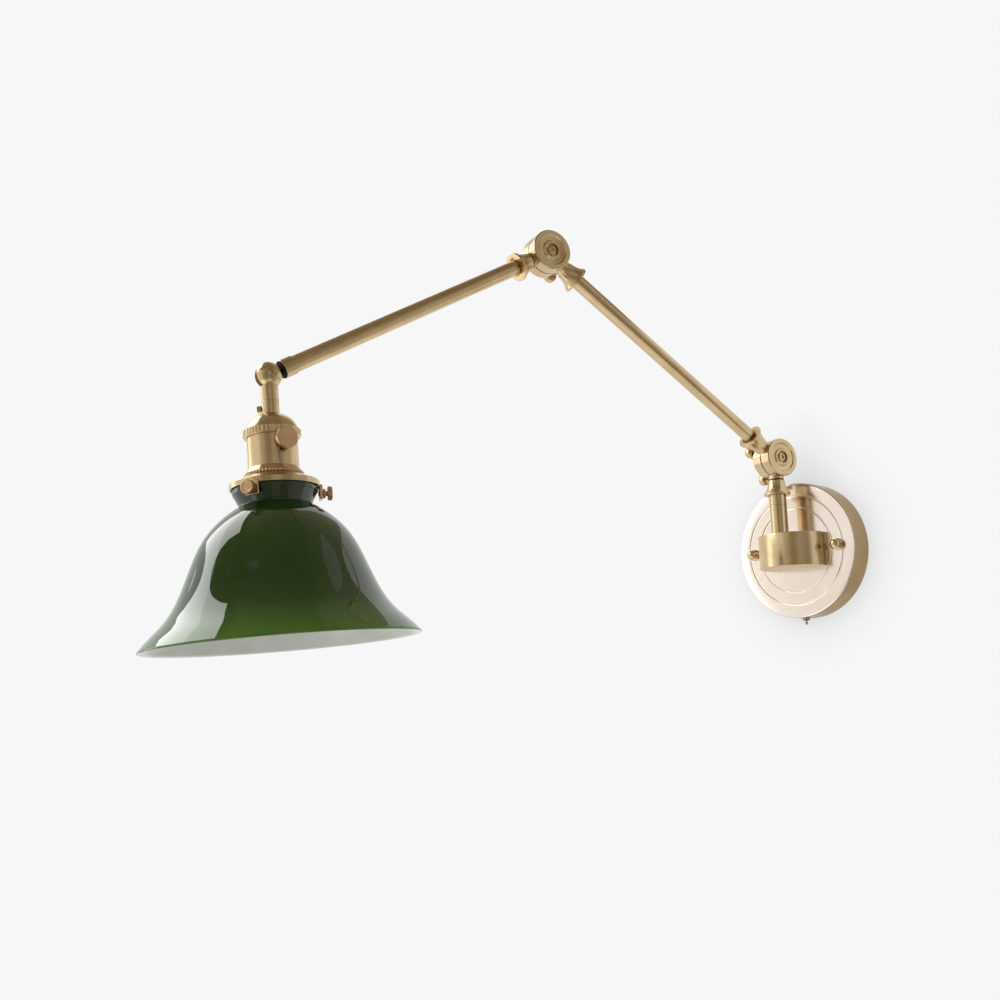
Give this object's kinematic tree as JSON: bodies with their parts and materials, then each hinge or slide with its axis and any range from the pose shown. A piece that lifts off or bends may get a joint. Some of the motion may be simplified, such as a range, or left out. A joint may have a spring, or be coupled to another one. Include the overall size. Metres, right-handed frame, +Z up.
{
  "type": "folding wall lamp",
  "caption": "Folding wall lamp with a round wall plate, swivelling post, jointed tube arm, ball-jointed lampholder and a flared green glass shade.",
  "frame": {"origin": "centre of the wall plate's back, on the wall's surface", "axes": "+Y into the wall, +Z up, +X to the right as seen from the room; the arm reaches towards -Y"},
  "size_m": [0.2402, 0.5994, 0.3612],
  "materials": {
    "satin_brass": "polished brass, lightly aged",
    "rose_brass": "turned brass, slightly redder",
    "zinc_steel": "zinc plated",
    "black_ring": "matt black",
    "dark_plastic": "moulded",
    "fibre_washer": "pressed fibre",
    "lead_sheath": "smooth sheath",
    "porcelain": "glazed",
    "green_glass": "glossy green outside, white cased inside"
  },
  "bodies": {
    "wall": {"wall_plate": "satin_brass", "wall_bracket": "zinc_steel", "bracket_studs": "zinc_steel", "cap_nuts": "satin_brass", "terminal_block": "dark_plastic", "terminal_screws": "zinc_steel", "earth_screw": "zinc_steel", "switch_case": "dark_plastic", "switch_nut": "zinc_steel", "support_block": "satin_brass", "block_nipple": "zinc_steel", "nipple_nut": "zinc_steel", "post_base": "satin_brass", "swivel_spindle": "zinc_steel", "spindle_ring": "zinc_steel"},
    "lever": {"switch_lever": "satin_brass"},
    "swivel": {"swivel_sleeve": "satin_brass", "post_collar": "satin_brass", "post_knuckle": "satin_brass", "post_ring": "black_ring"},
    "lower_arm": {"lower_arm_collar": "satin_brass", "lower_arm_knuckle": "satin_brass", "lower_joint_bolt": "satin_brass", "lower_joint_washer": "fibre_washer", "lower_arm_tube": "satin_brass", "lower_arm_lead": "lead_sheath", "elbow_collar_lower": "satin_brass", "elbow_knuckle_lower": "satin_brass", "elbow_bolt": "satin_brass", "elbow_washer": "fibre_washer"},
    "lower_grip": {"lower_grip_nut": "satin_brass"},
    "elbow_grip": {"elbow_grip_nut": "satin_brass"},
    "upper_arm": {"elbow_collar_upper": "satin_brass", "elbow_knuckle_upper": "satin_brass", "elbow_ring": "black_ring", "upper_arm_tube": "satin_brass", "upper_arm_lead": "lead_sheath", "arm_ferrule": "satin_brass", "arm_end_ring": "black_ring", "ball_tongue": "satin_brass"},
    "head": {"ball_fork": "satin_brass", "ball_pivot": "satin_brass", "stem": "satin_brass", "stem_nipple": "zinc_steel", "stem_set_screw": "satin_brass", "socket_cap": "satin_brass", "dome_nut": "zinc_steel", "socket_shell": "satin_brass", "socket_ring": "satin_brass", "lamp_holder": "porcelain", "screw_shell": "satin_brass", "centre_contact": "satin_brass", "shade_fitter": "satin_brass", "fitter_nut": "satin_brass", "glass_shade": "green_glass"},
    "knob": {"switch_knob": "rose_brass"},
    "thumb_front": {"thumbscrew_front": "rose_brass"},
    "thumb_side": {"thumbscrew_side": "rose_brass"},
    "thumb_rear": {"thumbscrew_rear": "rose_brass"}
  },
  "joints": [
    {"name": "swivel", "type": "hinge", "parent": "wall", "child": "swivel", "pos_m": [0, -0.042, 0.045], "axis": [0, 0, 1], "range_deg": [-49.1, 70.9]},
    {"name": "lower_tilt", "type": "hinge", "parent": "swivel", "child": "lower_arm", "pos_m": [0, -0.042, 0.085], "axis": [-0.982, 0.1891, 0], "range_deg": [-23.4, 41.6]},
    {"name": "elbow_fold", "type": "hinge", "parent": "lower_arm", "child": "upper_arm", "pos_m": [-0.04594, -0.28056, 0.24519], "axis": [-0.982, 0.1891, 0], "range_deg": [-36.4, 43.6]},
    {"name": "head_tilt", "type": "hinge", "parent": "upper_arm", "child": "head", "pos_m": [-0.09088, -0.51395, 0.10686], "axis": [-0.9766, 0.2113, -0.0392], "range_deg": [-35, 35]},
    {"name": "lower_grip_turn", "type": "hinge", "parent": "lower_arm", "child": "lower_grip", "pos_m": [0, -0.042, 0.085], "axis": [-0.982, 0.1891, 0], "continuous": true},
    {"name": "elbow_grip_turn", "type": "hinge", "parent": "lower_arm", "child": "elbow_grip", "pos_m": [-0.04594, -0.28056, 0.24519], "axis": [-0.982, 0.1891, 0], "continuous": true},
    {"name": "knob_turn", "type": "hinge", "parent": "head", "child": "knob", "pos_m": [-0.08818, -0.51115, 0.0547], "axis": [0.9987, -0.0038, 0.0515], "range_deg": [0, 90]},
    {"name": "lever_flick", "type": "hinge", "parent": "wall", "child": "lever", "pos_m": [0, -0.011, -0.05856], "axis": [1, 0, 0], "range_deg": [-8.5, 8.5]},
    {"name": "thumb_front_draw", "type": "slide", "parent": "head", "child": "thumb_front", "axis": [0.5862, -0.8101, -0.0131], "range_m": [0, 0.006]},
    {"name": "thumb_side_draw", "type": "slide", "parent": "head", "child": "thumb_side", "axis": [0.4071, 0.9107, 0.07], "range_m": [0, 0.006]},
    {"name": "thumb_rear_draw", "type": "slide", "parent": "head", "child": "thumb_rear", "axis": [-0.9933, -0.1006, -0.0568], "range_m": [0, 0.006]}
  ]
}
